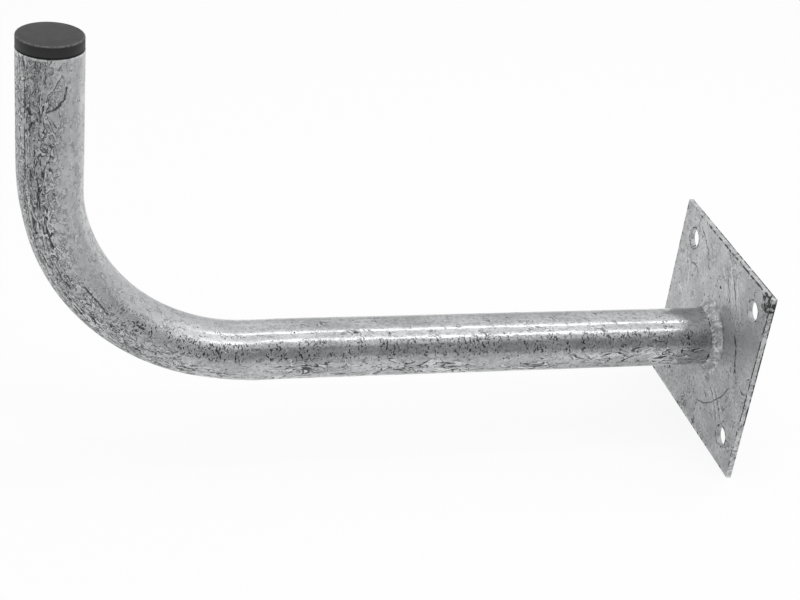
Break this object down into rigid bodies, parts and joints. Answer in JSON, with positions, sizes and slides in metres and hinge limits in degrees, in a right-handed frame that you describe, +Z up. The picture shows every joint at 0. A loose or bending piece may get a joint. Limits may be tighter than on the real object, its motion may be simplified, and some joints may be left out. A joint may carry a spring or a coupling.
{
  "type": "mast wall bracket",
  "caption": "Galvanised steel L-bracket: a bent round tube welded to a square drilled wall plate, with a black plastic cap in its upright end, to hold a mast or aerial off a wall.",
  "frame": {"origin": "centre of the wall plate's back face, the face that lies on the wall", "axes": "+X points out of the plate's back face into the wall, the arm runs towards -X, +Z points up along the upright, and Y runs along the plate's horizontal edges"},
  "size_m": [0.5, 0.15, 0.3015],
  "materials": {
    "plate_zinc": "hot-dip galvanised, matt grey",
    "tube_zinc": "hot-dip galvanised, streaked",
    "weld_zinc": "hot-dip galvanised over a weld",
    "cap_plastic": "moulded, fine matt"
  },
  "bodies": {
    "root": {"wall_plate": "plate_zinc", "bent_tube": "tube_zinc", "weld_bead": "weld_zinc", "end_cap": "cap_plastic"}
  },
  "joints": []
}
